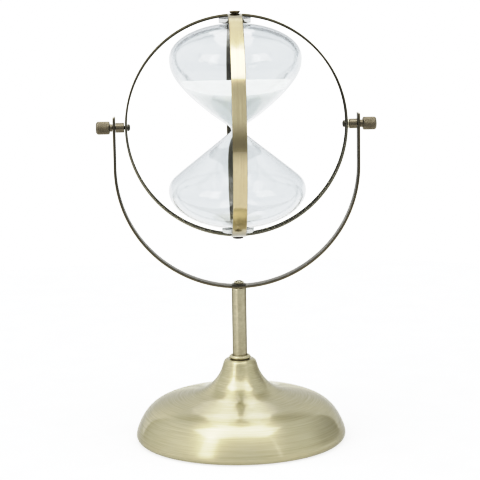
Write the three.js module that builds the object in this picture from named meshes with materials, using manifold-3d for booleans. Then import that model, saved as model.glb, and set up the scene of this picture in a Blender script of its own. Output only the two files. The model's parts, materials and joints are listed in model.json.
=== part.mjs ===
// Rotating hourglass: a glass with two bulbs held inside two crossed strip
// rings, turning end over end between the arms of a U-shaped yoke on a stem
// and a domed, weighted base.
// Millimetres, +Z up, origin at the centre of the underside, front at -Y,
// the turning axis runs along X.
import * as THREE from 'three';
import { mergeVertices } from 'three/addons/utils/BufferGeometryUtils.js';
import Module from 'manifold-3d';

const wasm = await Module();
wasm.setup();

// ---------------------------------------------------------------- dimensions
const PIVOT_Z = 229.7;          // height of the turning axis
const STRIP_W = 10;             // width of every strip
const GAP = 0.3;                // clearance between neighbouring pieces

// base
const BASE_TOP_Z = 59.2;
const SHELL_T = 1.6;
const RIM_Z = 0.6;              // metal rim stays just off the table
const FELT_R = 71.2;
const FELT_T = 2.1;
const BASE_OUTER = [            // radius, height of the spun outside
  [74.4, 0.6], [75.9, 1.8], [76.6, 3.8], [76.1, 7], [74.6, 11], [72.7, 15],
  [70.3, 19], [67.0, 23], [62.2, 26.8], [56.0, 29.4], [48.0, 31.3],
  [40.0, 33.0], [33.0, 34.6], [27.0, 36.7], [22.5, 39.4], [18.3, 43.6],
  [15.2, 48], [13.4, 52], [12.3, 56], [11.5, 58.2], [10.2, 59.2],
];
const BOLT_R = 3.0;
const BOLT_HEAD_R = 5.77;
const BOLT_HEAD_H = 3.6;
const BOLT_TOP_Z = 82;

// collar and stem
const COLLAR_R = 7.8;
const COLLAR_H = 2.6;
const STEM_R = 5.2;
const STEM_TOP_Z = 111.85;

// yoke
const YOKE_R = 87.2;            // mid radius of the half circle
const YOKE_T = 1.7;
const YOKE_C = 200.2;           // height of the half circle's centre
const YOKE_TIP = 7.6;            // strip end above the turning axis
const YOKE_TOP_Z = YOKE_C - YOKE_R + YOKE_T / 2;
const YOKE_SCREW_R = 1.8;
const YOKE_HEAD_R = 3.6;
const YOKE_HEAD_H = 1.8;
const YOKE_WASHER_R = 5;
const YOKE_WASHER_T = 0.8;

// rings
const RING_T = 1.35;
const MER_R = 78.7;             // mid radius of the ring with the pivots
const CROSS_R = 78.95;          // mid radius of the ring across it
const LAP_Z = 78.77;            // where they cross, each is cut to half its thickness at this height
const RING_SCREW_R = 2.0;
const RING_HEAD_R = 3.8;

// pivots
const PIN_R = 1.35;
const PIN_HOLE_R = 1.75;
const PIN_HEAD_R = 2.4;
const PIN_HEAD_H = 2.0;
const PIN_END_X = 97;
const SPACER_R = 3.5;
const SPACER_X0 = { left: 80.0, right: 80.7 };
const NUT_NECK_R = 2.7;
const NUT_NECK_L = 1.9;
const NUT_R = 4.65;
const NUT_END_X = 100.1;
const NUT_TEETH = 24;

// glass, heights measured from the turning axis
const GLASS_T = 1.4;
const UP_R = 47.0;
const UP_Z = 48.9;
const UP_TOP = 72.9;
const LOW_R = 49.2;
const LOW_Z = -46.5;
const LOW_BOT = -73.5;
const PORT_R = 4.9;
const DISC_R = 11.35;
const DISC_OUT = 76.85;
const SPIGOT_R = 4.4;
const SPIGOT_IN = 68.6;
const SAND_CREST = 31.8;        // the sand lies with a low crest along the turning axis
const SAND_FRONT = 10.5;        // fall of its surface to the front and back, degrees
const SAND_BACK = 6;

// ------------------------------------------------------------------- helpers
const v2 = (p) => new THREE.Vector2(p[0], p[1]);

function solid(geometry) {
  let g = geometry.clone();
  for (const key of Object.keys(g.attributes)) if (key !== 'position') g.deleteAttribute(key);
  g = mergeVertices(g, 1e-4);
  const p = g.attributes.position.array;
  const idx = g.index.array;
  const tri = [];
  let vol = 0;
  for (let i = 0; i < idx.length; i += 3) {
    const a = idx[i], b = idx[i + 1], c = idx[i + 2];
    if (a === b || b === c || a === c) continue;
    tri.push(a, b, c);
    const [ax, ay, az, bx, by, bz, cx, cy, cz] = [a, b, c].flatMap((k) => [p[3 * k], p[3 * k + 1], p[3 * k + 2]]);
    vol += ax * (by * cz - bz * cy) - ay * (bx * cz - bz * cx) + az * (bx * cy - by * cx);
  }
  if (vol < 0) for (let i = 0; i < tri.length; i += 3) [tri[i + 1], tri[i + 2]] = [tri[i + 2], tri[i + 1]];
  return new wasm.Manifold(new wasm.Mesh({
    numProp: 3, vertProperties: new Float32Array(p), triVerts: new Uint32Array(tri),
  }));
}

// turned pieces: profile as [radius, position along the axis]
const turnedY = (profile, n) => new THREE.LatheGeometry(profile.map(v2), n);
const turnedZ = (profile, n) => turnedY(profile, n).rotateX(Math.PI / 2);
const turnedX = (profile, n) => turnedY(profile, n).rotateZ(-Math.PI / 2);
const closed = (profile) => [...profile, profile[0]];

const rodZ = (r, z0, z1, n = 20, x = 0, y = 0) => solid(
  new THREE.CylinderGeometry(r, r, z1 - z0, n).rotateX(Math.PI / 2).translate(x, y, (z0 + z1) / 2));
const rodX = (r, x0, x1, n = 20, z = 0) => solid(
  new THREE.CylinderGeometry(r, r, x1 - x0, n).rotateZ(-Math.PI / 2).translate((x0 + x1) / 2, 0, z));
const block = (sx, sy, sz, x, y, z) => solid(new THREE.BoxGeometry(sx, sy, sz).translate(x, y, z));

// profile moved sideways by d along its own normals
function offset(profile, d) {
  return profile.map((p, i) => {
    const a = profile[Math.max(i - 1, 0)], b = profile[Math.min(i + 1, profile.length - 1)];
    const tx = b[0] - a[0], ty = b[1] - a[1], l = Math.hypot(tx, ty);
    return [p[0] + d * ty / l, p[1] - d * tx / l];
  });
}

const group = new THREE.Group();
group.name = 'rotating_hourglass';

const MAT = {
  brass: { color: 0xc9bf97, roughness: 0.3, metalness: 1.0 },
  bronze: { color: 0x6f5a3e, roughness: 0.38, metalness: 1.0 },
  dark: { color: 0x3d362c, roughness: 0.45, metalness: 1.0 },
  iron: { color: 0x3a3a3c, roughness: 0.75, metalness: 0.6 },
  steel: { color: 0xb9b9b4, roughness: 0.35, metalness: 1.0 },
  felt: { color: 0x2c2a28, roughness: 0.95, metalness: 0.0 },
  glass: { color: 0xdde6ec, roughness: 0.03, metalness: 0.0, transparent: true, opacity: 0.35 },
  clear: { color: 0xe3e6ea, roughness: 0.06, metalness: 0.0, transparent: true, opacity: 0.5 },
  sand: { color: 0xf2f0ea, roughness: 0.95, metalness: 0.0 },
};
const materials = Object.fromEntries(Object.entries(MAT).map(([k, v]) => [k, new THREE.MeshStandardMaterial(v)]));

function add(name, man, mat) {
  const m = man.getMesh();
  const g = new THREE.BufferGeometry();
  const n = m.numProp, src = m.vertProperties, pos = new Float32Array(src.length / n * 3);
  for (let i = 0; i < src.length / n; i += 1) for (let k = 0; k < 3; k += 1) pos[3 * i + k] = src[n * i + k];
  g.setAttribute('position', new THREE.BufferAttribute(pos, 3));
  g.setIndex(new THREE.BufferAttribute(new Uint32Array(m.triVerts), 1));
  g.computeVertexNormals();
  const mesh = new THREE.Mesh(g, materials[mat]);
  mesh.name = name;
  group.add(mesh);
}

// ---------------------------------------------------------------------- base
const inner = offset(BASE_OUTER, -SHELL_T).slice(1, -2).filter((p, i) => i % 2 === 0);
const TOP_IN = BASE_TOP_Z - SHELL_T;
const shellProfile = closed([
  ...BASE_OUTER,
  [BOLT_R + 0.4, BASE_TOP_Z], [BOLT_R + 0.4, TOP_IN],
  [10.0, TOP_IN],
  ...inner.reverse(),
  [73.0, RIM_Z],
]);
add('base_dome', solid(turnedZ(shellProfile, 40)), 'brass');

const WEIGHT_Z0 = FELT_T + GAP;
add('base_weight', solid(turnedZ(closed([
  [BOLT_R + 0.4, 8.0], [8.6, 8.0], [8.6, WEIGHT_Z0], [69.6, WEIGHT_Z0], [70.6, 3.4],
  [70.6, 11], [69, 12.5], [20, 14.5], [10.6, 24], [9.0, 57.3], [BOLT_R + 0.4, 57.3],
]), 40)), 'iron');

add('base_felt', solid(turnedZ([[0, 0], [FELT_R, 0], [FELT_R, FELT_T], [0, FELT_T]], 40)), 'felt');

const HEAD_Z0 = FELT_T + 0.4;
add('base_bolt',
  solid(new THREE.CylinderGeometry(BOLT_HEAD_R, BOLT_HEAD_R, BOLT_HEAD_H, 6)
    .rotateX(Math.PI / 2).translate(0, 0, HEAD_Z0 + BOLT_HEAD_H / 2))
    .add(rodZ(BOLT_R, HEAD_Z0 + BOLT_HEAD_H - 0.2, BOLT_TOP_Z, 18)), 'steel');

add('base_washer', solid(turnedZ(closed([
  [BOLT_R + 0.4, 6.4], [7.8, 6.4], [7.8, 7.7], [BOLT_R + 0.4, 7.7],
]), 28)), 'steel');

// ----------------------------------------------------------- collar and stem
const COLLAR_Z0 = BASE_TOP_Z + GAP;
const collar = [[STEM_R + 0.35, COLLAR_Z0], [COLLAR_R - 0.7, COLLAR_Z0]];
for (let i = 0; i <= 4; i += 1) {
  const a = (-60 + 30 * i) * Math.PI / 180;
  collar.push([COLLAR_R - 1.3 + 1.3 * Math.cos(a), COLLAR_Z0 + COLLAR_H / 2 + (COLLAR_H / 2) * Math.sin(a) / Math.sin(Math.PI / 3) * 0.92]);
}
collar.push([COLLAR_R - 1.0, COLLAR_Z0 + COLLAR_H], [STEM_R + 0.35, COLLAR_Z0 + COLLAR_H]);
add('stem_collar', solid(turnedZ(closed(collar), 24)), 'brass');

const stem = solid(turnedZ([
  [0, BASE_TOP_Z + GAP], [STEM_R, BASE_TOP_Z + GAP], [STEM_R, STEM_TOP_Z - 0.4], [STEM_R - 0.4, STEM_TOP_Z], [0, STEM_TOP_Z],
], 32))
  .subtract(rodZ(BOLT_R + 0.4, BASE_TOP_Z, BOLT_TOP_Z + 1.5, 18))
  .subtract(rodZ(YOKE_SCREW_R + 0.4, 99, STEM_TOP_Z + 1, 16));
add('stem', stem, 'brass');

// ---------------------------------------------------------------------- yoke
const yokeShape = new THREE.Shape();
const ARC = 44;
const tipZ = PIVOT_Z + YOKE_TIP;
const ro = YOKE_R + YOKE_T / 2, ri = YOKE_R - YOKE_T / 2;
yokeShape.moveTo(-ro, tipZ);
for (let i = 0; i <= ARC; i += 1) {
  const a = Math.PI + Math.PI * i / ARC;
  yokeShape.lineTo(ro * Math.cos(a), YOKE_C + ro * Math.sin(a));
}
yokeShape.lineTo(ro, tipZ);
yokeShape.lineTo(ri, tipZ);
for (let i = ARC; i >= 0; i -= 1) {
  const a = Math.PI + Math.PI * i / ARC;
  yokeShape.lineTo(ri * Math.cos(a), YOKE_C + ri * Math.sin(a));
}
yokeShape.lineTo(-ri, tipZ);
yokeShape.closePath();
const yoke = solid(new THREE.ExtrudeGeometry(yokeShape, { depth: STRIP_W, bevelEnabled: false })
  .translate(0, 0, -STRIP_W / 2).rotateX(Math.PI / 2))
  .subtract(rodX(PIN_HOLE_R, -95, 95, 16, PIVOT_Z))
  .subtract(rodZ(YOKE_SCREW_R + 0.4, YOKE_C - YOKE_R - 5, YOKE_C - YOKE_R + 5, 16));
add('yoke', yoke, 'brass');

const WASHER_Z = YOKE_TOP_Z + 0.3;
add('yoke_washer', solid(turnedZ(closed([
  [YOKE_SCREW_R + 0.4, WASHER_Z], [YOKE_WASHER_R, WASHER_Z],
  [YOKE_WASHER_R, WASHER_Z + YOKE_WASHER_T], [YOKE_SCREW_R + 0.4, WASHER_Z + YOKE_WASHER_T],
]), 28)), 'dark');

// pan head with a crossed recess, underside at 0, standing up along +axis
function panHead(r, h) {
  const p = [[0, 0], [r * 0.96, 0], [r, h * 0.12], [r, h * 0.42]];
  for (const [k, q] of [[0.95, 0.62], [0.82, 0.82], [0.6, 0.94], [0.32, 0.99]]) p.push([r * k, h * q]);
  p.push([0, h]);
  return p;
}
const recess = (r, h) => block(r * 1.25, r * 0.28, h, 0, 0, h * 0.5)
  .add(block(r * 0.28, r * 1.25, h, 0, 0, h * 0.5));

const YS_Z = WASHER_Z + YOKE_WASHER_T + GAP;
add('yoke_screw',
  solid(turnedZ(panHead(YOKE_HEAD_R, YOKE_HEAD_H), 24))
    .subtract(recess(YOKE_HEAD_R, 1.6).rotate([0, 0, 45]).translate([0, 0, YOKE_HEAD_H - 0.95]))
    .translate([0, 0, YS_Z])
    .add(rodZ(YOKE_SCREW_R, 101, YS_Z + 0.2, 14)), 'brass');

// -------------------------------------------------------------------- pivots
for (const [side, s] of [['left', -1], ['right', 1]]) {
  const turn = s > 0 ? [0, 0, 0] : [0, 0, 180];
  const place = (m) => m.rotate(turn).translate([0, 0, PIVOT_Z]);
  const yokeIn = YOKE_R - YOKE_T / 2, yokeOut = YOKE_R + YOKE_T / 2;
  const ringIn = MER_R - RING_T / 2, ringOut = MER_R + RING_T / 2;

  add(`${side}_spacer`, place(solid(turnedX(closed([
    [PIN_HOLE_R, SPACER_X0[side]], [SPACER_R - 0.4, SPACER_X0[side]], [SPACER_R, SPACER_X0[side] + 0.4],
    [SPACER_R, yokeIn - GAP], [PIN_HOLE_R, yokeIn - GAP],
  ]), 28))), 'bronze');

  if (s > 0) {
    add('right_washer', place(solid(turnedX(closed([
      [PIN_HOLE_R, ringOut + GAP], [SPACER_R - 0.1, ringOut + GAP],
      [SPACER_R - 0.1, SPACER_X0[side] - GAP], [PIN_HOLE_R, SPACER_X0[side] - GAP],
    ]), 24))), 'brass');
  }

  const headX = ringIn - GAP;
  const pinHead = solid(turnedZ(panHead(PIN_HEAD_R, PIN_HEAD_H), 20))
    .subtract(recess(PIN_HEAD_R, 1.4).rotate([0, 0, 45]).translate([0, 0, PIN_HEAD_H - 0.9]))
    .rotate([0, -90, 0]).translate([headX, 0, 0]);
  add(`${side}_pivot_screw`, place(pinHead.add(rodX(PIN_R, headX - 0.2, PIN_END_X, 14))), 'dark');

  // thumb nut: ribbed grip, plain neck towards the yoke, blind bore
  const nx0 = yokeOut + GAP, nx1 = nx0 + NUT_NECK_L;
  const grip = new THREE.Shape();
  for (let i = 0; i < NUT_TEETH; i += 1) {
    const a = 2 * Math.PI * i / NUT_TEETH, b = a + Math.PI / NUT_TEETH;
    const rt = NUT_R, rv = NUT_R - 0.35;
    if (i === 0) grip.moveTo(rt * Math.cos(a), rt * Math.sin(a));
    else grip.lineTo(rt * Math.cos(a), rt * Math.sin(a));
    grip.lineTo(rv * Math.cos(b), rv * Math.sin(b));
  }
  grip.closePath();
  const barrel = solid(turnedX([
    [0, nx1], [NUT_R - 0.6, nx1], [NUT_R + 0.1, nx1 + 0.6], [NUT_R + 0.1, NUT_END_X - 1.7],
    [NUT_R - 0.45, NUT_END_X - 0.7], [NUT_R - 1.4, NUT_END_X], [0, NUT_END_X],
  ], 24));
  const body = solid(new THREE.ExtrudeGeometry(grip, { depth: NUT_END_X - nx1 + 1, bevelEnabled: false })
    .rotateY(Math.PI / 2).translate(nx1 - 0.5, 0, 0)).intersect(barrel);
  const neck = solid(turnedX([
    [0, nx0], [NUT_NECK_R - 0.3, nx0], [NUT_NECK_R, nx0 + 0.3], [NUT_NECK_R, nx1 + 0.3], [0, nx1 + 0.3],
  ], 24));
  add(`${side}_thumb_nut`, place(body.add(neck).subtract(rodX(PIN_HOLE_R, nx0 - 1, PIN_END_X + 0.6, 16))), 'bronze');
}

// --------------------------------------------------------------------- rings
function roundRing(r, n) {
  return turnedY(closed([
    [r - RING_T / 2, -STRIP_W / 2], [r + RING_T / 2, -STRIP_W / 2],
    [r + RING_T / 2, STRIP_W / 2], [r - RING_T / 2, STRIP_W / 2],
  ]), n);
}
// halved joint: a flat cut on the outside of one ring and on the inside of the other
const halved = (sx, sy, z0, z1) => {
  const up = block(sx, sy, z1 - z0, 0, 0, (z0 + z1) / 2);
  return up.add(up.rotate([180, 0, 0]));
};
const LAP_W = STRIP_W + 2 * GAP;
const screwHoles = rodZ(RING_SCREW_R + 0.35, -90, 90, 16);
add('meridian_ring', solid(roundRing(MER_R, 72))
  .subtract(halved(LAP_W, STRIP_W + 2, LAP_Z - GAP / 2, LAP_Z + 8))
  .subtract(rodX(PIN_HOLE_R, -90, 90, 16)).subtract(screwHoles).translate([0, 0, PIVOT_Z]), 'brass');
add('cross_ring', solid(roundRing(CROSS_R, 72).rotateZ(Math.PI / 2))
  .subtract(halved(STRIP_W + 2, LAP_W, LAP_Z - 8, LAP_Z + GAP / 2))
  .subtract(screwHoles).translate([0, 0, PIVOT_Z]), 'brass');

// screws with a flared head that join the rings and hold the end discs
const crossOut = CROSS_R + RING_T / 2;
for (const [name, s] of [['top_screw', 1], ['bottom_screw', -1]]) {
  const z0 = crossOut + 0.2;
  const head = solid(turnedZ([
    [0, z0], [RING_HEAD_R - 0.85, z0], [RING_HEAD_R, z0 + 1.1], [RING_HEAD_R, z0 + 1.55], [0, z0 + 1.55],
  ], 24)).subtract(recess(RING_HEAD_R * 0.9, 1.2).rotate([0, 0, 45]).translate([0, 0, z0 + 0.8]));
  const m = head.add(rodZ(RING_SCREW_R, 70.8, z0 + 0.2, 14));
  add(name, (s > 0 ? m : m.rotate([180, 0, 0])).translate([0, 0, PIVOT_Z]), 'bronze');
}

// --------------------------------------------------------------------- glass
const glassOuter = [];
const domeUp = UP_TOP - UP_Z, domeLow = LOW_Z - LOW_BOT;
for (const d of [6.2, 15, 26, 38, 50, 61, 71, 81, 90]) {
  const a = d * Math.PI / 180;
  glassOuter.push([UP_R * Math.sin(a), UP_Z + domeUp * Math.cos(a)]);
}
glassOuter.push([46.8, 45.0], [46.3, 41.4], [44.9, 37.6], [42.4, 33.2], [38.6, 28.2], [33.0, 22.0], [25.6, 15.2], [17.4, 8.3],
  [10.2, 3.3], [6.4, 0.5], [4.7, -1.1], [4.15, -2.4],
  [4.5, -3.9], [6.0, -5.8], [12.4, -11.0], [28.5, -23.7], [44.4, -36.4], [47.2, -39.4], [48.7, -42.8]);
for (const d of [90, 81, 71, 61, 50, 38, 26, 15, 5.9]) {
  const a = d * Math.PI / 180;
  glassOuter.push([LOW_R * Math.sin(a), LOW_Z - domeLow * Math.cos(a)]);
}
const glassInner = offset(glassOuter, GLASS_T).filter((p, i, q) => i % 2 === 0 || (p[1] < 30 && p[1] > -7) || i === q.length - 1);
glassInner[0] = [PORT_R, glassInner[0][1]];
glassInner[glassInner.length - 1] = [PORT_R, glassInner[glassInner.length - 1][1]];
glassOuter[0][0] = PORT_R;
glassOuter[glassOuter.length - 1][0] = PORT_R;
add('glass_bulbs', solid(turnedZ(closed([...glassOuter, ...glassInner.slice().reverse()]), 32))
  .translate([0, 0, PIVOT_Z]), 'glass');

for (const [name, s, zin] of [['top_disc', 1, UP_TOP + 0.35], ['bottom_disc', -1, -LOW_BOT + 0.35]]) {
  const m = solid(turnedZ([
    [0, SPIGOT_IN], [SPIGOT_R, SPIGOT_IN], [SPIGOT_R, zin], [DISC_R, zin], [DISC_R, DISC_OUT], [0, DISC_OUT],
  ], 36)).subtract(rodZ(RING_SCREW_R + 0.35, 70.2, DISC_OUT + 1, 16));
  add(name, (s > 0 ? m : m.rotate([180, 0, 0])).translate([0, 0, PIVOT_Z]), 'clear');
}

// ---------------------------------------------------------------------- sand
const sandWall = offset(glassOuter, GLASS_T + 0.35).filter((p) => p[1] < 36 && p[1] > -2.6);
const slope = (deg, side) => block(120, 160, 60, 0, side * 40, 30).rotate([-side * deg, 0, 0]).translate([0, 0, SAND_CREST]);
const sand = solid(turnedZ([[0, sandWall[0][1]], ...sandWall, [0, sandWall[sandWall.length - 1][1]]], 36))
  .subtract(slope(SAND_FRONT, -1)).subtract(slope(SAND_BACK, 1));
add('sand', sand.translate([0, 0, PIVOT_Z]), 'sand');

export default group;
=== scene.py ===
import json
import math

import bmesh
import bpy
from mathutils import Matrix, Vector

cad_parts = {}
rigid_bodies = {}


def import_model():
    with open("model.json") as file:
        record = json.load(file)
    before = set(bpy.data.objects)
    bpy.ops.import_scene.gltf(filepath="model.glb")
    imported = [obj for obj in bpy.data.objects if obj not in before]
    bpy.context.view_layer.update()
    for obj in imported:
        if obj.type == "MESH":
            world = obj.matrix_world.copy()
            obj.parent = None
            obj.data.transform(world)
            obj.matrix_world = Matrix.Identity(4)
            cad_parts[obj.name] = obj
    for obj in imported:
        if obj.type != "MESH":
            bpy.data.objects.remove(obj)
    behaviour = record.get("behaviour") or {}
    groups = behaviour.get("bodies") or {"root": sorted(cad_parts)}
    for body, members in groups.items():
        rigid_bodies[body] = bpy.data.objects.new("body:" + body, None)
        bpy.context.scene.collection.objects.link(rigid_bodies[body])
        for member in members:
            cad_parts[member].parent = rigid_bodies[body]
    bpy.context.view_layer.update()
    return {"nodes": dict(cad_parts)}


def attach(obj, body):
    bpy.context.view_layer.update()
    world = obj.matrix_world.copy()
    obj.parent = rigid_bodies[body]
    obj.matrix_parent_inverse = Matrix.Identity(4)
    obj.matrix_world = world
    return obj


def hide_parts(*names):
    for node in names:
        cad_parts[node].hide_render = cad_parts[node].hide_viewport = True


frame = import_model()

scene = bpy.context.scene
MM = 0.001

# ------------------------------------------------------------------ dimensions
PIVOT_Z = 229.7
BASE_OUTER = [
    (74.4, 0.6), (75.9, 1.8), (76.6, 3.8), (76.1, 7), (74.6, 11), (72.7, 15),
    (70.3, 19), (67.0, 23), (62.2, 26.8), (56.0, 29.4), (48.0, 31.3),
    (40.0, 33.0), (33.0, 34.6), (27.0, 36.7), (22.5, 39.4), (18.3, 43.6),
    (15.2, 48), (13.4, 52), (12.3, 56), (11.5, 58.2), (10.2, 59.2),
]
UP_R, UP_Z, UP_TOP = 47.0, 48.9, 72.9
LOW_R, LOW_Z, LOW_BOT = 49.2, -46.5, -73.5
GLASS_T = 1.4
SAND_CREST, SAND_FRONT, SAND_BACK = 31.8, math.tan(math.radians(10.5)), math.tan(math.radians(6.0))


# ------------------------------------------------------------------ mesh tools
def bspline(ctrl, per=6):
    """Points on a uniform cubic B-spline that starts and ends on its end controls."""
    c = [ctrl[0], ctrl[0]] + list(ctrl) + [ctrl[-1], ctrl[-1]]
    out = []
    for i in range(len(c) - 3):
        for k in range(per):
            t = k / per
            b = ((1 - t) ** 3 / 6, (3 * t ** 3 - 6 * t ** 2 + 4) / 6,
                 (-3 * t ** 3 + 3 * t ** 2 + 3 * t + 1) / 6, t ** 3 / 6)
            out.append((sum(b[j] * c[i + j][0] for j in range(4)),
                        sum(b[j] * c[i + j][1] for j in range(4))))
    out.append(tuple(ctrl[-1]))
    clean = [out[0]]
    for p in out[1:]:
        if math.dist(p, clean[-1]) > 0.02:
            clean.append(p)
    return clean


def shifted(prof, d):
    """A profile moved sideways by d along its own normals."""
    out = []
    for i, p in enumerate(prof):
        a, b = prof[max(i - 1, 0)], prof[min(i + 1, len(prof) - 1)]
        tx, ty = b[0] - a[0], b[1] - a[1]
        n = math.hypot(tx, ty)
        out.append((p[0] + d * ty / n, p[1] - d * tx / n))
    return out


def rounded(corners, steps=4, closed=True):
    """Corners (r, z, radius) to a profile (r, z, edge weight) with real fillets."""
    out, n = [], len(corners)
    for i, c in enumerate(corners):
        p, rad = Vector(c[:2]), (c[2] if len(c) > 2 else 0.0)
        if rad <= 0 or (not closed and i in (0, n - 1)):
            out.append((p.x, p.y, 0.0))
            continue
        a, b = Vector(corners[i - 1][:2]), Vector(corners[(i + 1) % n][:2])
        da, db = (a - p), (b - p)
        la, lb = da.length, db.length
        da, db = da / la, db / lb
        ang = da.angle(db)
        t = min(rad / math.tan(ang / 2), la * 0.48, lb * 0.48)
        rr = t * math.tan(ang / 2)
        mid = p + (da + db).normalized() * (rr / math.sin(ang / 2))
        s, e = p + da * t, p + db * t
        a0 = math.atan2(s.y - mid.y, s.x - mid.x)
        d = (math.atan2(e.y - mid.y, e.x - mid.x) - a0 + math.pi) % (2 * math.pi) - math.pi
        for k in range(steps + 1):
            q = a0 + d * k / steps
            out.append((mid.x + rr * math.cos(q), mid.y + rr * math.sin(q), 1.0 if 0 < k < steps else 0.6))
    return out


def finish_mesh(me, sharp):
    bm = bmesh.new()
    bm.from_mesh(me)
    bmesh.ops.recalc_face_normals(bm, faces=bm.faces)
    bm.to_mesh(me)
    bm.free()
    for p in me.polygons:
        p.use_smooth = True
    me.set_sharp_from_angle(angle=math.radians(sharp))
    me.update()


def revolve(name, prof, n, closed=True, warp=None, sharp=40):
    """A turned piece about local Z, in metres. prof holds (r, z[, edge weight[, painted shade]]) in mm.
    closed joins the last profile point to the first; otherwise both ends lie on the axis.
    warp(r, z, angle) may move a point: it returns x, y, z in mm."""
    verts, wear, dark, rings = [], [], [], []
    for p in prof:
        r, z, w, d = p[0], p[1], (p[2] if len(p) > 2 else 0.0), (p[3] if len(p) > 3 else 0.0)
        if r < 1e-6:
            rings.append([len(verts)] * n)
            verts.append((0, 0, z * MM))
            wear.append(w)
            dark.append(d)
            continue
        ring = []
        for j in range(n):
            a = 2 * math.pi * (j + 0.5) / n
            x, y, zz = warp(r, z, a) if warp else (r * math.cos(a), r * math.sin(a), z)
            ring.append(len(verts))
            verts.append((x * MM, y * MM, zz * MM))
            wear.append(w)
            dark.append(d)
        rings.append(ring)
    faces = []
    m = len(rings)
    for i in range(m if closed else m - 1):
        a, b = rings[i], rings[(i + 1) % m]
        for j in range(n):
            k = (j + 1) % n
            f = []
            for v in (a[j], a[k], b[k], b[j]):
                if v not in f:
                    f.append(v)
            if len(f) > 2:
                faces.append(f)
    me = bpy.data.meshes.new(name)
    me.from_pydata(verts, [], faces)
    me.attributes.new("wear", "FLOAT", "POINT").data.foreach_set("value", wear)
    me.attributes.new("dark", "FLOAT", "POINT").data.foreach_set("value", dark)
    finish_mesh(me, sharp)
    ob = bpy.data.objects.new(name, me)
    scene.collection.objects.link(ob)
    return ob


def cut(ob, *cutters, sharp=35):
    """Real boolean cuts, applied to the mesh."""
    for c in cutters:
        mod = ob.modifiers.new("cut", "BOOLEAN")
        mod.operation, mod.solver, mod.object = "DIFFERENCE", "EXACT", c
    bpy.context.view_layer.update()
    dep = bpy.context.evaluated_depsgraph_get()
    me = bpy.data.meshes.new_from_object(ob.evaluated_get(dep))
    old = ob.data
    ob.modifiers.clear()
    me.name = old.name + "_cut"
    ob.data = me
    bpy.data.meshes.remove(old)
    for c in cutters:
        d = c.data
        bpy.data.objects.remove(c)
        bpy.data.meshes.remove(d)
    for p in me.polygons:
        p.use_smooth = True
    me.set_sharp_from_angle(angle=math.radians(sharp))
    return ob


def prism(name, pts, z0, z1, grow=1.0):
    """A plain closed prism used for cutting: outline pts in mm, grow scales its top."""
    n = len(pts)
    v = [(x * MM, y * MM, z0 * MM) for x, y in pts] + [(x * grow * MM, y * grow * MM, z1 * MM) for x, y in pts]
    f = [list(range(n))[::-1], list(range(n, 2 * n))] + [[i, (i + 1) % n, n + (i + 1) % n, n + i] for i in range(n)]
    me = bpy.data.meshes.new(name)
    me.from_pydata(v, [], f)
    ob = bpy.data.objects.new(name, me)
    scene.collection.objects.link(ob)
    return ob


def cross(length, width, z0, z1, turn=45, grow=1.15):
    """Cutter for a crossed recess, narrower at its floor z0 than at its mouth z1."""
    l, w = length / 2, width / 2
    pts = [(l, w), (w, w), (w, l), (-w, l), (-w, w), (-l, w), (-l, -w), (-w, -w), (-w, -l), (w, -l), (w, -w), (l, -w)]
    c, s = math.cos(math.radians(turn)), math.sin(math.radians(turn))
    return prism("recess", [(c * x - s * y, s * x + c * y) for x, y in pts], z0, z1, grow)


def drill(r, z0, z1, n=48):
    return prism("drill", [(r * math.cos(2 * math.pi * k / n), r * math.sin(2 * math.pi * k / n)) for k in range(n)], z0, z1)


def place(ob, matrix):
    ob.matrix_world = matrix
    bpy.context.view_layer.update()
    return ob


AXIS_X = Matrix.Rotation(math.pi / 2, 4, "Y")      # local Z to +X
AXIS_MX = Matrix.Rotation(-math.pi / 2, 4, "Y")    # local Z to -X
FLIP = Matrix.Rotation(math.pi, 4, "X")


def at(x, y, z, rot=None):
    m = Matrix.Translation((x * MM, y * MM, z * MM))
    return m @ rot if rot is not None else m


def hand(ob, mat, body, slot, *nodes):
    ob.data.materials.clear()
    ob.data.materials.append(mat)
    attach(ob, body)
    if nodes:
        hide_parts(*nodes)
    return ob


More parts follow.
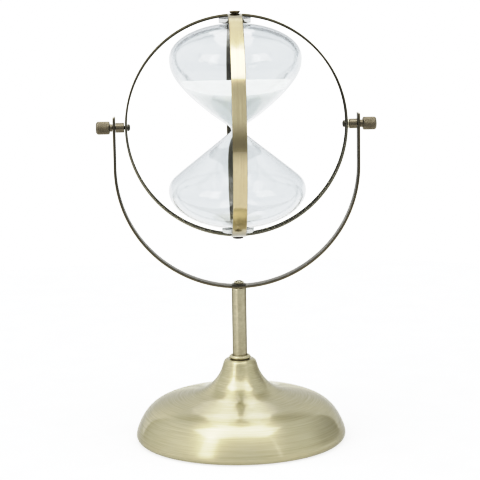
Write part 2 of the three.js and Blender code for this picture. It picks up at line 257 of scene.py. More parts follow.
# ------------------------------------------------------------------- materials
class Nodes:
    def __init__(self, name):
        self.mat = bpy.data.materials.new(name)
        self.mat.use_nodes = True
        self.t = self.mat.node_tree
        self.t.nodes.clear()
        self.out = self.new("ShaderNodeOutputMaterial")
        self.bsdf = self.new("ShaderNodeBsdfPrincipled")
        self.t.links.new(self.bsdf.outputs[0], self.out.inputs[0])

    def new(self, kind, **kw):
        n = self.t.nodes.new(kind)
        for k, v in kw.items():
            setattr(n, k, v)
        return n

    def link(self, a, b):
        self.t.links.new(a, b)

    def math(self, op, a, b=None, clamp=False):
        n = self.new("ShaderNodeMath", operation=op, use_clamp=clamp)
        for i, v in enumerate((a, b)):
            if v is None:
                continue
            if isinstance(v, (int, float)):
                n.inputs[i].default_value = v
            else:
                self.link(v, n.inputs[i])
        return n.outputs[0]

    def span(self, v, a, b, c, d):
        n = self.new("ShaderNodeMapRange")
        self.link(v, n.inputs[0])
        for i, x in enumerate((a, b, c, d)):
            n.inputs[i + 1].default_value = x
        return n.outputs[0]

    def mix(self, fac, a, b, mode="MIX"):
        n = self.new("ShaderNodeMix", data_type="RGBA", blend_type=mode)
        if isinstance(fac, (int, float)):
            n.inputs[0].default_value = fac
        else:
            self.link(fac, n.inputs[0])
        for i, v in ((6, a), (7, b)):
            if isinstance(v, tuple):
                n.inputs[i].default_value = (*v, 1.0)
            else:
                self.link(v, n.inputs[i])
        return n.outputs[2]

    def noise(self, vec, scale, detail=3.0, rough=0.55, dist=0.0):
        n = self.new("ShaderNodeTexNoise")
        n.inputs["Scale"].default_value = scale
        n.inputs["Detail"].default_value = detail
        n.inputs["Roughness"].default_value = rough
        n.inputs["Distortion"].default_value = dist
        if vec is not None:
            self.link(vec, n.inputs["Vector"])
        return n.outputs["Fac"]

    def set(self, **kw):
        for k, v in kw.items():
            s = self.bsdf.inputs[k.replace("_", " ")]
            s.default_value = (*v, 1.0) if isinstance(v, tuple) and len(v) == 3 else v

    def bump(self, height, strength, distance):
        n = self.new("ShaderNodeBump")
        n.inputs["Strength"].default_value = strength
        n.inputs["Distance"].default_value = distance
        self.link(height, n.inputs["Height"])
        self.link(n.outputs[0], self.bsdf.inputs["Normal"])


def object_coords(m):
    return m.new("ShaderNodeTexCoord").outputs["Object"]


def turned_coords(m, around, across):
    """Coordinates that run slowly round local Z and quickly across it, with no seam."""
    sep = m.new("ShaderNodeSeparateXYZ")
    m.link(object_coords(m), sep.inputs[0])
    flat = m.new("ShaderNodeCombineXYZ")
    m.link(sep.outputs[0], flat.inputs[0])
    m.link(sep.outputs[1], flat.inputs[1])
    ln = m.new("ShaderNodeVectorMath", operation="LENGTH")
    m.link(flat.outputs[0], ln.inputs[0])
    unit = m.new("ShaderNodeVectorMath", operation="NORMALIZE")
    m.link(flat.outputs[0], unit.inputs[0])
    u = m.new("ShaderNodeSeparateXYZ")
    m.link(unit.outputs[0], u.inputs[0])
    v = m.math("SUBTRACT", ln.outputs["Value"], sep.outputs[2])
    res = m.new("ShaderNodeCombineXYZ")
    m.link(m.math("MULTIPLY", u.outputs[0], around), res.inputs[0])
    m.link(m.math("MULTIPLY", u.outputs[1], around), res.inputs[1])
    m.link(m.math("MULTIPLY", v, across), res.inputs[2])
    return res.outputs[0]


def uv_coords(m, along, across):
    uv = m.new("ShaderNodeUVMap")
    mp = m.new("ShaderNodeMapping")
    m.link(uv.outputs[0], mp.inputs[0])
    mp.inputs["Scale"].default_value = (along, across, 1.0)
    return mp.outputs[0]


def brushed(name, light, dark, tint, rough, aniso, coat, coat_rough, fine, coarse, streak=0.5, strip=False, wear_gain=0.5, painted_shade=None, rim=(1.0, 1.0, 1.0), lines_depth=0.12, painted_light_by_place=None):
    """Brushed, lacquered metal. Lines run round local Z, or along U on a strip. A painted shade colour, if given,
    darkens a strip's edges and inner face by its dark attribute.
    """
    m = Nodes(name)
    if strip:
        f, c = uv_coords(m, 9.0, fine), uv_coords(m, 4.0, coarse)
    else:
        f, c = turned_coords(m, 2.2, fine), turned_coords(m, 1.1, coarse)
    nf = m.noise(f, 1.0, 2.0, 0.6)
    nc = m.noise(c, 1.0, 3.0, 0.65)
    lines = m.math("ADD", m.math("MULTIPLY", nf, 0.55), m.math("MULTIPLY", nc, 0.45))
    patina = m.noise(object_coords(m), 26.0, 4.0, 0.6, 0.4)
    base = m.mix(m.span(lines, 0.5 - 0.35 * (1.1 - streak), 0.5 + 0.35 * (1.1 - streak), 0.0, 1.0), dark, light)
    base = m.mix(m.span(patina, 0.42, 0.72, 0.0, 0.35), base, tint)
    wear = m.new("ShaderNodeAttribute", attribute_name="wear")
    rub = m.math("MULTIPLY", wear.outputs["Fac"], m.span(m.noise(object_coords(m), 420.0, 3.0, 0.6), 0.35, 0.65, 0.25, 1.0))
    bright = tuple(min(1.0, x * 1.18 + 0.03) for x in light)
    base = m.mix(m.math("MULTIPLY", rub, wear_gain), base, bright)
    rg = m.span(lines, 0.3, 0.7, rough * 1.16, rough * 0.86)
    # painted shade: where the dark attribute is set, the colour turns to the shade colour with a little noise, and the
    # coat is taken off
    if painted_shade:
        old = m.new("ShaderNodeAttribute", attribute_name="dark")
        painted_shade_mask = m.math("MULTIPLY", old.outputs["Fac"], m.span(m.noise(object_coords(m), 120.0, 3.0, 0.5), 0.3, 0.7, 0.92, 1.0))
        if painted_light_by_place:                                                     # painted light and shade: darker above the pivots, paler low on the left
            where = m.new("ShaderNodeSeparateXYZ")
            m.link(object_coords(m), where.inputs[0])
            pale = m.math("MULTIPLY", m.span(where.outputs[1], -0.025, -0.012, 1.0, 0.0), m.span(where.outputs[0], -0.03, 0.0, 1.0, 0.0))
            painted_shade = m.mix(pale, painted_shade, painted_light_by_place[1])
            painted_shade = m.mix(m.span(where.outputs[1], -0.002, 0.02, 0.0, 1.0), painted_shade, painted_light_by_place[0])
        base = m.mix(painted_shade_mask, base, painted_shade)
        rg = m.math("ADD", rg, m.math("MULTIPLY", painted_shade_mask, 0.12))
        m.link(m.math("MULTIPLY", m.math("SUBTRACT", 1.0, painted_shade_mask), coat), m.bsdf.inputs["Coat Weight"])
    m.link(base, m.bsdf.inputs["Base Color"])
    m.link(rg, m.bsdf.inputs["Roughness"])
    m.set(Metallic=1.0, Anisotropic=aniso, Anisotropic_Rotation=0.25,
          Coat_Weight=coat, Coat_Roughness=coat_rough, Coat_IOR=2.1, Specular_Tint=rim)
    tan = m.new("ShaderNodeTangent", direction_type="UV_MAP" if strip else "RADIAL")
    if not strip:
        tan.axis = "Z"
    m.link(tan.outputs[0], m.bsdf.inputs["Tangent"])
    m.bump(lines, lines_depth, 0.00012)
    return m.mat


def plain_metal(name, light, dark, rough, scale=600.0, coat=0.0, wear_gain=0.6, bump=0.15):
    m = Nodes(name)
    n1 = m.noise(object_coords(m), scale, 4.0, 0.6)
    n2 = m.noise(object_coords(m), scale * 0.18, 3.0, 0.6)
    base = m.mix(m.span(n2, 0.35, 0.68, 0.0, 1.0), dark, light)
    wear = m.new("ShaderNodeAttribute", attribute_name="wear")
    rub = m.math("MULTIPLY", wear.outputs["Fac"], m.span(n1, 0.35, 0.65, 0.35, 1.0))
    base = m.mix(m.math("MULTIPLY", rub, wear_gain), base, tuple(min(1.0, x * 1.7 + 0.05) for x in light))
    m.link(base, m.bsdf.inputs["Base Color"])
    m.link(m.span(n1, 0.3, 0.7, rough * 0.8, rough * 1.25), m.bsdf.inputs["Roughness"])
    m.set(Metallic=1.0, Coat_Weight=coat, Coat_Roughness=0.06)
    m.bump(n1, bump, 0.00008)
    return m.mat


def glass_mat(name, tint, ior, rough, wave, wave_scale):
    m = Nodes(name)
    n1 = m.noise(object_coords(m), wave_scale, 2.0, 0.5)
    n2 = m.noise(object_coords(m), wave_scale * 9.0, 4.0, 0.6)
    shade = m.mix(m.span(n2, 0.4, 0.75, 0.0, 1.0), tint, tuple(x * 0.985 for x in tint))
    m.link(shade, m.bsdf.inputs["Base Color"])
    m.link(m.span(n2, 0.35, 0.8, rough * 0.4, rough * 1.6), m.bsdf.inputs["Roughness"])
    m.set(Transmission_Weight=1.0, IOR=ior)
    m.bump(n1, wave, 0.0006)
    return m.mat


def sand_mat():
    m = Nodes("white_sand")
    v = m.new("ShaderNodeTexVoronoi")
    v.inputs["Scale"].default_value = 2600.0
    m.link(object_coords(m), v.inputs["Vector"])
    n = m.noise(object_coords(m), 60.0, 4.0, 0.6)
    grain = m.mix(m.span(v.outputs["Distance"], 0.0, 0.75, 0.0, 1.0), (0.63, 0.64, 0.632), (0.565, 0.575, 0.565))
    col = m.mix(m.span(n, 0.35, 0.7, 0.0, 0.3), grain, (0.60, 0.61, 0.595))
    m.link(col, m.bsdf.inputs["Base Color"])
    m.link(m.span(n, 0.3, 0.7, 0.85, 0.98), m.bsdf.inputs["Roughness"])
    # painted light: a faint glow brightens the sand where it lies in shade
    m.set(Specular_IOR_Level=0.25, Subsurface_Weight=0.9, Subsurface_Scale=0.012, Emission_Color=(0.97, 1.0, 0.985), Emission_Strength=0.235)
    m.bsdf.inputs["Subsurface Radius"].default_value = (1.0, 1.0, 0.95)
    m.bump(v.outputs["Distance"], 0.5, 0.0003)
    return m.mat


def felt_mat():
    m = Nodes("dark_felt")
    n1 = m.noise(object_coords(m), 1800.0, 5.0, 0.7, 1.2)
    n2 = m.noise(object_coords(m), 120.0, 3.0, 0.6)
    col = m.mix(m.span(n1, 0.3, 0.7, 0.0, 1.0), (0.022, 0.02, 0.018), (0.06, 0.055, 0.05))
    col = m.mix(m.span(n2, 0.4, 0.7, 0.0, 0.4), col, (0.045, 0.042, 0.04))
    m.link(col, m.bsdf.inputs["Base Color"])
    m.link(m.span(n1, 0.3, 0.7, 0.85, 1.0), m.bsdf.inputs["Roughness"])
    m.set(Sheen_Weight=0.3, Sheen_Roughness=0.5)
    m.bump(n1, 0.6, 0.0004)
    return m.mat


def iron_mat():
    m = Nodes("cast_iron")
    n1 = m.noise(object_coords(m), 700.0, 5.0, 0.7)
    n2 = m.noise(object_coords(m), 40.0, 3.0, 0.6)
    col = m.mix(m.span(n2, 0.35, 0.7, 0.0, 1.0), (0.03, 0.03, 0.032), (0.075, 0.07, 0.068))
    m.link(col, m.bsdf.inputs["Base Color"])
    m.link(m.span(n1, 0.3, 0.7, 0.55, 0.85), m.bsdf.inputs["Roughness"])
    m.set(Metallic=0.5)
    m.bump(n1, 0.5, 0.0006)
    return m.mat


BASE_BRASS = brushed("pale_brass", (0.464, 0.433, 0.31), (0.376, 0.346, 0.234), (0.42, 0.401, 0.309),
                     0.39, 0.84, 0.55, 0.105, 1700.0, 640.0, streak=0.6, rim=(0.42, 0.42, 0.41))
# The dark colour given last to each strip is painted shade for its edges and inner face.
STRIP_BRASS = brushed("strip_brass", (0.485, 0.435, 0.305), (0.39, 0.34, 0.225), (0.44, 0.40, 0.29),
                      0.22, 0.6, 0.55, 0.05, 1500.0, 420.0, painted_shade=(0.10, 0.096, 0.085), wear_gain=0.2, rim=(0.4, 0.4, 0.39))
# painted shade: the pivot ring takes a darker copy of the strip brass, and its edge shade is darker above the pivots
# and paler low on the left
RING_BRASS = brushed("strip_brass_ring", (0.38, 0.345, 0.24), (0.30, 0.27, 0.18), (0.34, 0.315, 0.23),
                     0.26, 0.6, 0.0, 0.05, 1500.0, 420.0, painted_shade=(0.235, 0.232, 0.212), wear_gain=0.05, rim=(0.05, 0.055, 0.055),
                     painted_light_by_place=((0.10, 0.098, 0.088), (0.34, 0.33, 0.29)))
YOKE_BRASS = brushed("strip_brass_yoke", (0.45, 0.39, 0.25), (0.36, 0.30, 0.185), (0.40, 0.355, 0.25),
                     0.22, 0.6, 0.6, 0.05, 2200.0, 700.0, strip=True, painted_shade=(0.125, 0.123, 0.113), wear_gain=0.05)
STEM_BRASS = brushed("stem_brass", (0.49, 0.46, 0.365), (0.395, 0.365, 0.275), (0.445, 0.425, 0.35),
                     0.42, 0.9, 0.12, 0.06, 1500.0, 300.0, rim=(0.12, 0.12, 0.115))
BRONZE = plain_metal("bronze", (0.225, 0.205, 0.165), (0.18, 0.162, 0.125), 0.34, scale=260.0, coat=0.15, bump=0.02, wear_gain=0.15)
STUD = plain_metal("worn_bronze", (0.17, 0.14, 0.085), (0.12, 0.095, 0.055), 0.36, scale=400.0, wear_gain=0.15, bump=0.05)
# painted shade: a darker copy of the stud bronze, for the screw at the foot of the ring, which faces down
STUD_SHADED = plain_metal("shaded_bronze", (0.05, 0.042, 0.032), (0.03, 0.025, 0.018), 0.40, scale=400.0, wear_gain=0.1, bump=0.05)
DARK = plain_metal("dark_steel", (0.14, 0.135, 0.115), (0.09, 0.086, 0.07), 0.36)
SCREW = plain_metal("screw_brass", (0.50, 0.47, 0.38), (0.34, 0.32, 0.25), 0.28, coat=0.2)
ZINC = plain_metal("zinc_steel", (0.72, 0.71, 0.68), (0.52, 0.51, 0.49), 0.32)
GLASS = glass_mat("blown_glass", (0.965, 0.978, 0.985), 1.48, 0.004, 0.0, 22.0)
CLEAR = glass_mat("clear_plastic", (0.86, 0.86, 0.84), 1.49, 0.10, 0.2, 160.0)
SAND = sand_mat()
FELT = felt_mat()
IRON = iron_mat()

# ------------------------------------------------------------------ camera
DIST, HEIGHT, AZ, ROLL = 1.450, 0.40775, -0.0280, -0.0155
FOCAL_PX, TARGET = 2044.9, Vector((0.00131, 0.0, 0.14674))
cam_data = bpy.data.cameras.new("camera")
cam = bpy.data.objects.new("camera", cam_data)
scene.collection.objects.link(cam)
eye = Vector((DIST * math.sin(AZ), -DIST * math.cos(AZ), HEIGHT))
w = (TARGET - eye).normalized()
right = w.cross(Vector((0, 0, 1))).normalized()
up = right.cross(w)
r2 = right * math.cos(ROLL) + up * math.sin(ROLL)
u2 = -right * math.sin(ROLL) + up * math.cos(ROLL)
cam.matrix_world = Matrix(((r2.x, u2.x, -w.x, eye.x), (r2.y, u2.y, -w.y, eye.y), (r2.z, u2.z, -w.z, eye.z), (0, 0, 0, 1)))
cam_data.sensor_width = 36.0
cam_data.lens = 36.0 * FOCAL_PX / 480.0
cam_data.clip_start, cam_data.clip_end = 0.05, 60.0
scene.camera = cam

# ------------------------------------------------------------------ base
outer = bspline(BASE_OUTER, 7)
inner = shifted(bspline(BASE_OUTER[1:-1], 3), -1.6)
prof = [(r, z, 0.0) for r, z in outer]
prof = [(r, z, 1.0 if z < 1.0 else 0.0) for r, z, _ in prof]
prof += [(3.4, 59.2), (3.4, 57.6), (10.0, 57.6)] + inner[::-1][1:] + [(73.0, 0.6)]
base = revolve("base_shell", prof, 192, sharp=50)
hand(base, BASE_BRASS, "stand", "pale_brass", "base_dome")

felt = revolve("felt_pad", rounded([(0, 0), (71.2, 0, 0.5), (71.2, 2.1, 0.3), (0, 2.1)], 3, closed=False), 128, closed=False)
hand(felt, FELT, "stand", "felt", "base_felt")
for node, mat in (("base_weight", IRON), ("base_bolt", ZINC), ("base_washer", ZINC)):
    ob = frame["nodes"][node]
    ob.data.materials.clear()
    ob.data.materials.append(mat)

# ------------------------------------------------------------------ collar and stem
collar = revolve("collar_ring", rounded([
    (5.55, 59.5, 0.1), (6.9, 59.5, 0.2), (7.8, 60.35, 0.7), (7.8, 61.3, 0.75), (6.9, 62.1, 0.5), (5.55, 62.1, 0.45)], 5), 96)
hand(collar, BASE_BRASS, "stand", "pale_brass", "stem_collar")

stem = revolve("stem_rod", rounded([
    (3.4, 59.5, 0.1), (5.2, 59.5, 0.3), (5.2, 111.85, 0.45), (2.2, 111.85, 0.2), (2.2, 99.0), (3.4, 83.5)], 4), 96)
hand(stem, STEM_BRASS, "stand", "pale_brass", "stem")
stem.visible_glossy = False                                        # its mirror image in the brushed dome is too faint to show


# ------------------------------------------------------------------ yoke
def painted_shade_at(depth, edge, inner):
    """Painted shade on a strip, by depth: none on its polished outer face at 0, edge on its edges, inner on its inner
    face at 1.
    """
    if depth < 0.02:
        return 0.0
    if depth < 0.8:
        return edge * min(1.0, depth / 0.2)
    return edge + (inner - edge) * min(1.0, (depth - 0.8) / 0.15)


def yoke_mesh():
    R, T, C, W, TIP = 87.2, 1.7, 200.2, 10.0, PIVOT_Z + 7.6
    path = []      # x, z, tangent, share of the full width
    ends = [(TIP - 0.45 * (1 - math.cos(a)), 1 - 0.09 * (1 - math.sin(a))) for a in (0.0, 0.4, 0.8, 1.2, math.pi / 2)]
    legs = ends + [(TIP - 0.45 - k * (TIP - 0.45 - C) / 20, 1.0) for k in range(1, 20)]
    for z, k in legs:
        path.append((-R, z, (0.0, -1.0), k))
    for k in range(121):
        a = math.pi + math.pi * k / 120
        path.append((R * math.cos(a), C + R * math.sin(a), (-math.sin(a), math.cos(a)), 1.0))
    for z, k in legs[::-1]:
        path.append((R, z, (0.0, 1.0), k))
    sec = rounded([(-T / 2, -W / 2, 0.45), (T / 2, -W / 2, 0.45), (T / 2, W / 2, 0.45), (-T / 2, W / 2, 0.45)], 4)
    verts, wear, dark, uv, s = [], [], [], [], 0.0
    for i, (x, z, t, k) in enumerate(path):
        if i:
            s += math.hypot(x - path[i - 1][0], z - path[i - 1][1])
        nx, nz = -t[1], t[0]        # towards the inside of the U
        for (p, q, wv) in sec:
            verts.append(((x + nx * p) * MM, q * k * MM, (z + nz * p) * MM))
            wear.append(wv)
            # painted shade: the yoke's edges and inner face are darkened
            dark.append(painted_shade_at(p / T + 0.5, 0.74, 0.96))
            uv.append((s * MM, (q * k + p) * MM))
    n, m = len(sec), len(path)
    faces = [[i * n + j, i * n + (j + 1) % n, (i + 1) * n + (j + 1) % n, (i + 1) * n + j] for i in range(m - 1) for j in range(n)]
    faces += [list(range(n))[::-1], [(m - 1) * n + j for j in range(n)]]
    me = bpy.data.meshes.new("yoke_strip")
    me.from_pydata(verts, [], faces)
    me.attributes.new("wear", "FLOAT", "POINT").data.foreach_set("value", wear)
    me.attributes.new("dark", "FLOAT", "POINT").data.foreach_set("value", dark)
    lay = me.uv_layers.new(name="UVMap")
    for lp in me.loops:
        lay.data[lp.index].uv = uv[lp.vertex_index]
    finish_mesh(me, 40)
    ob = bpy.data.objects.new("yoke_strip", me)
    scene.collection.objects.link(ob)
    return ob


yoke = yoke_mesh()
pin_hole = place(drill(1.75, -95, 95), at(0, 0, PIVOT_Z, AXIS_X))
stem_hole = drill(2.2, 108, 120)
cut(yoke, pin_hole, stem_hole)
hand(yoke, YOKE_BRASS, "stand", "strip_brass", "yoke")

washer = revolve("yoke_ring", rounded([(2.2, 114.15, 0.1), (5.0, 114.15, 0.25), (5.0, 114.95, 0.25), (2.2, 114.95, 0.1)], 3), 72)
hand(washer, DARK, "stand", "dark_steel", "yoke_washer")


def pan_head(r, h, rise=0.45):
    """Pan head profile, underside at 0, from its crown on the axis to its bearing edge."""
    pts = []
    for k in range(13):
        a = math.pi / 2 * k / 12
        pts.append((r * math.sin(a) ** 0.9, h * rise + h * (1 - rise) * math.cos(a) ** 0.75, 0.0))
    pts.append((r, h * 0.14, 0.6))
    pts.append((r * 0.95, 0.0, 1.0))
    return pts


def shank(r, z0, z1, pitch):
    """A cut thread in profile, running from z0 down to z1."""
    out, z, k = [], z0, 0
    while z - pitch / 2 > z1 + 0.5:
        out.append((r if k % 2 == 0 else r * 0.82, z, 0.5 if k % 2 == 0 else 0.0))
        z -= pitch / 2
        k += 1
    return out + [(r * 0.8, z1 + 0.35, 0.0), (r * 0.5, z1, 0.0), (0.0, z1, 0.0)]


ys = revolve("yoke_bolt", [(r, z + 115.25, w_) for r, z, w_ in pan_head(3.6, 1.8, 0.35)]
             + [(1.8, 115.25, 0.0)] + shank(1.8, 114.9, 101.0, 0.7), 64, closed=False)
cut(ys, cross(5.4, 1.1, 115.95, 117.8, 45))
hand(ys, SCREW, "stand", "strip_brass", "yoke_screw")

# ------------------------------------------------------------------ pivots
for side, s, rot in (("left", -1, AXIS_MX), ("right", 1, AXIS_X)):
    here = at(0, 0, PIVOT_Z, rot)
    # local Z runs outwards along the turning axis from the middle of the glass
    x0 = 80.0 if s < 0 else 80.7
    sp = revolve(side + "_sleeve", rounded([
        (1.75, x0, 0.1), (3.5, x0, 0.35), (3.5, 86.05, 0.2), (1.75, 86.05, 0.1)], 4), 72)
    hand(place(sp, here), BRONZE, "stand", "bronze", side + "_spacer")
    if s > 0:
        wa = revolve("right_shim", rounded([
            (1.75, 79.68, 0.08), (3.4, 79.68, 0.2), (3.4, 80.4, 0.2), (1.75, 80.4, 0.08)], 3), 64)
        hand(place(wa, here), SCREW, "stand", "strip_brass", "right_washer")
    # head inside the ring, so its profile is turned over
    hp = [(r, 77.72 - z, w_) for r, z, w_ in pan_head(2.4, 2.0)]
    th = [(r, 2 * 77.72 - z, w_) for r, z, w_ in shank(1.35, 77.42, 58.44, 0.45)]
    ps = revolve(side + "_pivot_bolt", hp + [(1.35, 77.72, 0.0)] + th, 48, closed=False)
    cut(ps, place(cross(3.0, 0.65, -0.85, 0.6, 45), at(0, 0, 76.02, FLIP)))
    hand(place(ps, here), DARK, "stand", "dark_steel", side + "_pivot_screw")

    def knurl(r, z, a, teeth=40):
        """Straight ribs on the grip, fading out at both ends of it."""
        k = max(0.0, min(1.0, (z - 90.8) / 0.4, (98.9 - z) / 0.5))
        if r < 3.6:
            k = 0.0
        t = (0.5 - 0.5 * math.cos(teeth * a)) ** 0.8
        rr = r - 0.13 * k * t
        return rr * math.cos(a), rr * math.sin(a), z

    grip = [(0.0, 97.6), (1.75, 97.6), (1.75, 88.35)]
    skin = rounded([(1.75, 88.35), (2.7, 88.35, 0.25), (2.7, 90.25, 0.25), (4.05, 90.25, 0.1), (4.65, 90.8, 0.25),
                    (4.65, 100.0, 1.75), (0.9, 100.1, 0.3), (0.0, 100.1)], 6, closed=False)[1:]
    dense = [skin[0]]
    for p in skin[1:]:
        q = dense[-1]
        steps = max(1, int(abs(p[1] - q[1]) / 0.6))
        for k in range(1, steps + 1):
            t = k / steps
            dense.append(tuple(q[i] + (p[i] - q[i]) * t for i in range(3)))
    nut = revolve(side + "_grip", grip + dense, 320, closed=False, warp=knurl, sharp=50)
    hand(place(nut, here), BRONZE, side + "_nut", "bronze", side + "_thumb_nut")


# ------------------------------------------------------------------ rings
def ring(name, a, t=1.35, wdt=10.0):
    sec = rounded([(a - t / 2, -wdt / 2, 0.38), (a + t / 2, -wdt / 2, 0.38), (a + t / 2, wdt / 2, 0.38), (a - t / 2, wdt / 2, 0.38)], 4)
    # painted shade: the ring's edges and inner face are darkened
    return revolve(name, [(r, z, w_, painted_shade_at((a + t / 2 - r) / t, 0.80, 0.90)) for r, z, w_ in sec], 360)


def lap(x, y, z0, z1):
    """Two cutters that halve a ring's thickness where it crosses the other, at its top and its foot."""
    pts = [(-x, -y), (x, -y), (x, y), (-x, y)]
    return [place(prism("lap", pts, z0, z1), at(0, 0, PIVOT_Z, rot)) for rot in (None, FLIP)]


IN_XZ = Matrix.Rotation(math.pi / 2, 4, "X")                       # ring plane to X-Z
IN_YZ = Matrix.Rotation(math.pi / 2, 4, "Z") @ IN_XZ               # ring plane to Y-Z
mer = place(ring("pivot_ring", 78.7), at(0, 0, PIVOT_Z, IN_XZ))
cut(mer, *lap(5.3, 6.0, 78.62, 86.8), place(drill(1.75, -90, 90), at(0, 0, PIVOT_Z, AXIS_X)), place(drill(2.35, -90, 90), at(0, 0, PIVOT_Z)))
hand(mer, RING_BRASS, "gimbal", "strip_brass", "meridian_ring")
mer.visible_glossy = False                                         # keeps its dark line off the glass
yoke.visible_glossy = False                                        # and the strips' dark lines off the dome
cro = place(ring("outer_ring", 78.95), at(0, 0, PIVOT_Z, IN_YZ))
cut(cro, *lap(6.0, 5.3, 70.8, 78.92), place(drill(2.35, -90, 90), at(0, 0, PIVOT_Z)))
hand(cro, STRIP_BRASS, "gimbal", "strip_brass", "cross_ring")
cro.visible_glossy = False                                         # as the other strips

# the screw at the ring's foot takes the darker copy of the stud bronze, painted shade
for name, node, rot, mat in (("top_stud", "top_screw", None, STUD), ("bottom_stud", "bottom_screw", FLIP, STUD_SHADED)):
    z0 = 79.825
    hd = rounded([(0, z0 + 1.55), (3.8, z0 + 1.55, 0.15), (3.8, z0 + 1.1, 0.15), (2.95, z0, 0.15), (2.0, z0, 0.05), (2.0, z0 - 0.3)], 3, closed=False)
    st = revolve(name, hd + shank(2.0, z0 - 0.5, 70.8, 0.7), 64, closed=False)
    cut(st, cross(4.2, 0.95, z0 + 0.65, z0 + 2.2, 45))
    hand(place(st, at(0, 0, PIVOT_Z, rot)), mat, "gimbal", "bronze", node)

# ------------------------------------------------------------------ glass, discs, sand
ctrl = []
for d in (6.2, 15, 26, 38, 50, 61, 71, 81, 90):
    a = math.radians(d)
    ctrl.append((UP_R * math.sin(a), UP_Z + (UP_TOP - UP_Z) * math.cos(a)))
ctrl += [(46.9, 45.0), (46.3, 41.4), (44.9, 37.6), (42.4, 33.2), (38.6, 28.2), (33.0, 22.0), (29.3, 18.6), (25.6, 15.2), (21.6, 11.8), (17.4, 8.3),
         (13.6, 5.5), (10.2, 3.2), (7.0, 0.9), (4.9, -0.9), (4.0, -2.4), (4.4, -4.1), (6.0, -5.8), (12.4, -11.0), (20.4, -17.3), (28.5, -23.7), (36.6, -30.2), (44.4, -36.4),
         (47.2, -39.4), (48.7, -42.8)]
for d in (90, 81, 71, 61, 50, 38, 26, 15, 5.9):
    a = math.radians(d)
    ctrl.append((LOW_R * math.sin(a), LOW_Z - (LOW_Z - LOW_BOT) * math.cos(a)))
skin = bspline(ctrl, 5)
wall = shifted(skin, GLASS_T)
skin[0], skin[-1] = (4.9, skin[0][1]), (4.9, skin[-1][1])
wall[0], wall[-1] = (4.9, wall[0][1]), (4.9, wall[-1][1])
glass = revolve("bulbs", [(r, z) for r, z in skin] + [(r, z) for r, z in wall[::-1]], 144, sharp=60)
hand(place(glass, at(0, 0, PIVOT_Z)), GLASS, "gimbal", "blown_glass", "glass_bulbs")
glass.visible_shadow = False

for name, node, zin, rot in (("top_cap", "top_disc", UP_TOP + 0.35, None), ("bottom_cap", "bottom_disc", -LOW_BOT + 0.35, FLIP)):
    cap = revolve(name, rounded([
        (0, 68.6), (4.4, 68.6, 0.4), (4.4, zin, 0.3), (11.35, zin, 0.35), (11.35, 76.85, 0.35), (2.35, 76.85, 0.15), (2.35, 70.2, 0.2), (0, 70.2)], 4, closed=False), 128, closed=False)
    hand(place(cap, at(0, 0, PIVOT_Z, rot)), CLEAR, "gimbal", "clear_plastic", node)
    cap.visible_shadow = False

side_wall = [p for p in shifted(bspline(ctrl, 5), GLASS_T + 0.1) if -2.4 < p[1] < 36.0]


def wall_r(z):
    """Radius of the sand where it lies along the glass, at height z."""
    for (r0, z0), (r1, z1) in zip(side_wall, side_wall[1:]):
        if z1 <= z <= z0:
            return r0 + (r1 - r0) * (z - z0) / (z1 - z0)
    return side_wall[-1][0]


def free_z(x, y, calm):
    """Height of the free surface: a low crest along X that falls to front and back, a little uneven."""
    z = SAND_CREST - (SAND_FRONT if y < 0 else SAND_BACK) * (math.sqrt(y * y + 4.0) - 2.0)
    rough = 0.14 * math.sin(0.23 * x + 0.4 * y) + 0.12 * math.sin(0.51 * x - 0.33 * y + 1.0) + 0.07 * math.sin(0.9 * y + 0.2 * x) * math.cos(0.7 * x)
    return z + calm * rough


def sand_mesh(n=144, rows=30, rings=30):
    low = side_wall[-1][1]
    verts, faces = [(0.0, 0.0, low * MM)], []
    grid = []
    for k in range(rows + 1):
        ring = []
        for j in range(n):
            a = 2 * math.pi * j / n
            c, s_ = math.cos(a), math.sin(a)
            z = SAND_CREST
            for _ in range(30):
                z = 0.5 * z + 0.5 * free_z(wall_r(z) * c, wall_r(z) * s_, 0.0)
            zz = low + (z - low) * k / rows
            r = wall_r(zz)
            ring.append(len(verts))
            verts.append((r * c * MM, r * s_ * MM, zz * MM))
        grid.append(ring)
    edge = grid[-1]
    for k in range(1, rings):
        t = 1 - k / rings
        ring = []
        for j in range(n):
            x, y = verts[edge[j]][0] / MM * t, verts[edge[j]][1] / MM * t
            ring.append(len(verts))
            verts.append((x * MM, y * MM, free_z(x, y, min(1.0, k / 4)) * MM))
        grid.append(ring)
    top = len(verts)
    verts.append((0.0, 0.0, free_z(0, 0, 1.0) * MM))
    for j in range(n):
        q = (j + 1) % n
        faces.append([0, grid[0][q], grid[0][j]])
        for a, b in zip(grid, grid[1:]):
            faces.append([a[j], a[q], b[q], b[j]])
        faces.append([grid[-1][j], grid[-1][q], top])
    me = bpy.data.meshes.new("sand_fill")
    me.from_pydata(verts, [], faces)
    finish_mesh(me, 50)
    ob = bpy.data.objects.new("sand_fill", me)
    scene.collection.objects.link(ob)
    return ob


sand = sand_mesh()
hand(place(sand, at(0, 0, PIVOT_Z)), SAND, "gimbal", "white_sand", "sand")
sand.visible_glossy = False                                        # no white ghost of it in the wall of the glass

# ------------------------------------------------------------------ floor
me = bpy.data.meshes.new("floor")
N, R = 96, 0.70
me.from_pydata([(R * math.cos(2 * math.pi * k / N), R * math.sin(2 * math.pi * k / N), -0.0003) for k in range(N)], [], [list(range(N))])
floor = bpy.data.objects.new("floor", me)
scene.collection.objects.link(floor)
m = Nodes("floor_white")
nf = m.noise(object_coords(m), 30.0, 3.0, 0.5)
m.link(m.mix(m.span(nf, 0.3, 0.7, 0.0, 1.0), (0.44, 0.44, 0.44), (0.46, 0.46, 0.46)), m.bsdf.inputs["Base Color"])
m.set(Roughness=0.9, Specular_IOR_Level=0.0, Emission_Strength=0.48)
away = m.new("ShaderNodeSeparateXYZ")
m.link(object_coords(m), away.inputs[0])
